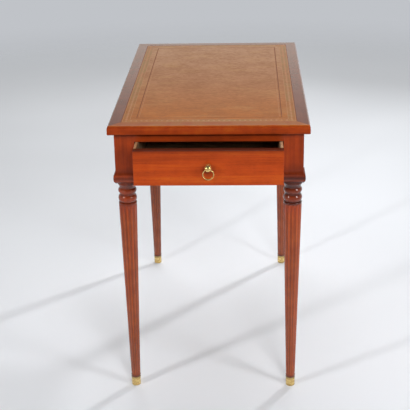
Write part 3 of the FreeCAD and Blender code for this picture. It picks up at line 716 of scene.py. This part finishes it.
class PolishRails(bpy.types.Operator):
    """French polish the apron rails"""

    bl_idname = "writing_table.polish_rails"
    bl_label = "Polish Rails"

    def execute(self, context):
        # Old polish, with painted shade at the top of each rail under the overhang
        across = polished_mahogany("french_polished_mahogany_end_rails", "X", RAIL_AGE_AND_SHADE, depth=0.09,
                                   gloss=RAIL_GLOSS)
        finish_nodes(nodes_named("front_upper_rail", "front_lower_rail", "back_rail"), across)
        along = polished_mahogany("french_polished_mahogany_side_rails", "Y", RAIL_AGE_AND_SHADE, depth=0.04,
                                  gloss=RAIL_GLOSS)
        finish_nodes(nodes_named("side_rail"), along)
        return {"FINISHED"}


class PolishDrawerFront(bpy.types.Operator):
    """French polish the drawer front, cut from a paler board"""

    bl_idname = "writing_table.polish_drawer_front"
    bl_label = "Polish Drawer Front"

    def execute(self, context):
        low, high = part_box("pull_post")
        hold = Vector(((low.x + high.x) / 2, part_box("drawer_front")[0].y, low.z))
        # The drawer front: painted shade along its top edge, and grime with painted shade round the pull
        material = polished_mahogany("french_polished_mahogany_drawer_front", "X", DRAWER_SHADE,
                                     depth=0.035, figure=0.15, gloss=DRAWER_GLOSS, layer=pull_grime_and_shade_layer,
                                     about=hold)
        finish_nodes(nodes_named("drawer_front"), material)
        return {"FINISHED"}


class PlaneOak(bpy.types.Operator):
    """Leave the drawer box, its housing and the core of the top as planed oak"""

    bl_idname = "writing_table.plane_oak"
    bl_label = "Plane Oak Pieces"

    def execute(self, context):
        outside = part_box("drawer_side_right")[1].x
        # Dust and painted shade on each drawer side's inner part; its outer part stays clean
        finish_nodes(nodes_named("drawer_side"),
                     planed_oak("planed_oak_drawer_sides", "Y", SIDE_DUST_AND_SHADE, outside - RUB_DEPTH))
        finish_nodes(nodes_named("drawer_runner", "drawer_guide", "drawer_kicker", "top_core_panel"),
                     planed_oak("planed_dusty_oak_long_pieces", "Y", INSIDE_DUST_AND_SHADE))
        finish_nodes(["drawer_back", "drawer_bottom", "drawer_stops", "mitre_keys"],
                     planed_oak("planed_dusty_oak_cross_pieces", "X", INSIDE_DUST_AND_SHADE))
        return {"FINISHED"}


class PolishBrass(bpy.types.Operator):
    """Polish the shoes and the ring pull"""

    bl_idname = "writing_table.polish_brass"
    bl_label = "Polish Brass"

    def execute(self, context):
        finish_nodes(nodes_named("shoe_"),
                     polished_brass("turned_polished_brass_shoes", SHOE_LINES, SHOE_AGE))
        finish_nodes(nodes_named("pull_"), polished_brass("cast_polished_brass_pull", PULL_LINES))
        return {"FINISHED"}


class SetScrews(bpy.types.Operator):
    """Finish the wood screws"""

    bl_idname = "writing_table.set_screws"
    bl_label = "Finish Screws"

    def execute(self, context):
        screws = [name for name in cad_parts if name.endswith("_screws")]
        finish_nodes(screws, turned_steel("turned_bright_steel_screws"))
        return {"FINISHED"}


class LayLeather(bpy.types.Operator):
    """Lay the leather, with the lines of its tooled border pressed in"""

    bl_idname = "writing_table.lay_leather"
    bl_label = "Lay Leather"

    def execute(self, context):
        low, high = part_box("leather_writing_surface")
        mesh = bmesh.new()
        place = Matrix.Translation((low + high) / 2) @ Matrix.Diagonal((*(high - low), 1.0))
        bmesh.ops.create_cube(mesh, size=1.0, matrix=place)
        top = max(mesh.faces, key=lambda face: face.calc_center_median().z)
        for width, sink, finish in BORDER_RINGS:
            ring = bmesh.ops.inset_region(mesh, faces=[top], use_even_offset=True, thickness=width * MM,
                                          depth=-sink * MM)
            for face in ring["faces"]:
                face.material_index = finish
        finishes = (waxed_calf("waxed_tan_calf"), gold_leaf("rubbed_gold_leaf_fillets"),
                    blind_tooling("blind_tooled_calf_line"),
                    waxed_calf("gilt_stained_calf_border", GILDING))
        piece = new_piece("tooled_leather_top", mesh, finishes)
        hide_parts("leather_writing_surface")
        return {"FINISHED"}


class StampRoll(bpy.types.Operator):
    """Stamp the gilt roll of lozenges and dots round the border of the leather"""

    bl_idname = "writing_table.stamp_roll"
    bl_label = "Stamp Gilt Roll"

    def execute(self, context):
        low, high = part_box("leather_writing_surface")
        inset = Vector((ROLL_INSET, ROLL_INSET, 0)) * MM
        first, last = low + inset, high - inset
        corners = [Vector((x, y, high.z)) for x, y in (
            (first.x, first.y), (last.x, first.y), (last.x, last.y), (first.x, last.y))]
        mesh = bmesh.new()
        for corner, following in zip(corners, corners[1:] + corners[:1]):
            run = following - corner
            count = round(run.length / (ROLL_STEP * MM))
            turn = Matrix.Rotation(math.atan2(run.y, run.x), 4, "Z")
            for index in range(count):
                self.stamp(mesh, corner + run * index / count, turn, LOZENGE, sides=4)
                self.stamp(mesh, corner + run * (index + 0.5) / count, turn, DOT, sides=8)
        new_piece("gilt_border_roll", mesh, [gold_leaf("rubbed_gold_leaf_roll")])
        return {"FINISHED"}

    def stamp(self, mesh, place, turn, halves, sides):
        """Low cone with its halves along and across, in millimetres, and this many sides."""
        rise = ROLL_RISE * MM
        along, across = halves
        size = Matrix.Diagonal((along * MM, across * MM, 1.0, 1.0))
        seat = Matrix.Translation(place + Vector((0, 0, rise / 2))) @ turn @ size
        bmesh.ops.create_cone(mesh, cap_ends=True, segments=sides, radius1=1.0, radius2=0.0, depth=rise,
                              matrix=seat)


class SetStage(bpy.types.Operator):
    """Set the floor, the lamps, the pale surround and the camera"""

    bl_idname = "writing_table.set_stage"
    bl_label = "Set Stage"

    def execute(self, context):
        self.lay_floor(context)
        self.hang_lamps(context)
        context.scene.world = studio_walls("pale_studio_walls")
        self.stand_camera(context)
        context.scene.view_settings.view_transform = "Standard"
        return {"FINISHED"}

    def lay_floor(self, context):
        """Round sheet of paper just under the feet."""
        mesh = bmesh.new()
        bmesh.ops.create_circle(mesh, cap_ends=True, segments=96, radius=FLOOR_RADIUS,
                                matrix=Matrix.Translation((0, 0, cad_box[0].z - FLOOR_GAP)))
        data = bpy.data.meshes.new("studio_floor")
        mesh.to_mesh(data)
        mesh.free()
        data.materials.append(studio_paper("matt_background_paper"))
        floor = bpy.data.objects.new("studio_floor", data)
        context.scene.collection.objects.link(floor)

    def hang_lamps(self, context):
        """Round lamps, each at its place and turned to its aim."""
        studio = context.scene.writing_table.studio
        for name, (place, aim, diameter, beam, mirrored) in LAMPS.items():
            lamp = bpy.data.lights.new(name, "AREA")
            lamp.shape = "DISK"
            lamp.size = diameter
            lamp.spread = math.radians(beam)
            lamp.energy = getattr(studio, name)
            stand = bpy.data.objects.new(name, lamp)
            stand.location = place
            stand.rotation_euler = (Vector(aim) - Vector(place)).to_track_quat("-Z", "Y").to_euler()
            stand.visible_camera = False
            stand.visible_glossy = mirrored
            context.scene.collection.objects.link(stand)

    def stand_camera(self, context):
        """Camera at the height of a standing person's eyes, before the drawer end."""
        studio = context.scene.writing_table.studio
        lens = bpy.data.cameras.new("studio_camera")
        lens.lens = studio.lens
        camera = bpy.data.objects.new("studio_camera", lens)
        tilt, turn, roll = studio.camera_turn
        camera.matrix_world = (Matrix.Translation(studio.camera_place) @ Matrix.Rotation(-turn, 4, "Z")
                               @ Matrix.Rotation(math.pi / 2 - tilt, 4, "X")
                               @ Matrix.Rotation(roll, 4, "Z"))
        context.scene.collection.objects.link(camera)
        context.scene.camera = camera


class WritingTablePanel(bpy.types.Panel):
    """Finishes of the writing table"""

    bl_idname = "VIEW3D_PT_writing_table"
    bl_label = "Writing Table"
    bl_space_type = "VIEW_3D"
    bl_region_type = "UI"
    bl_category = "Writing Table"

    def draw(self, context):
        look = context.scene.writing_table
        for group in ("mahogany", "oak", "leather", "brass", "steel", "studio"):
            box = self.layout.box()
            box.label(text=group.title())
            finish = getattr(look, group)
            for name in finish.__annotations__:
                box.prop(finish, name)
        for operator in OPERATORS:
            self.layout.operator(operator.bl_idname)


OPERATORS = (PolishTopFrame, PolishLegs, PolishRails, PolishDrawerFront, PlaneOak, PolishBrass,
             SetScrews, LayLeather, StampRoll, SetStage)
CLASSES = (MahoganyFinish, OakFinish, LeatherFinish, BrassFinish, SteelFinish, StudioSetting,
           WritingTableLook, *OPERATORS, WritingTablePanel)


def register():
    for each in CLASSES:
        bpy.utils.register_class(each)
    bpy.types.Scene.writing_table = PointerProperty(type=WritingTableLook)


def unregister():
    del bpy.types.Scene.writing_table
    for each in reversed(CLASSES):
        bpy.utils.unregister_class(each)


def main():
    register()
    for operator in OPERATORS:
        getattr(bpy.ops.writing_table, operator.bl_idname.split(".")[1])()


if __name__ == "__main__":
    main()
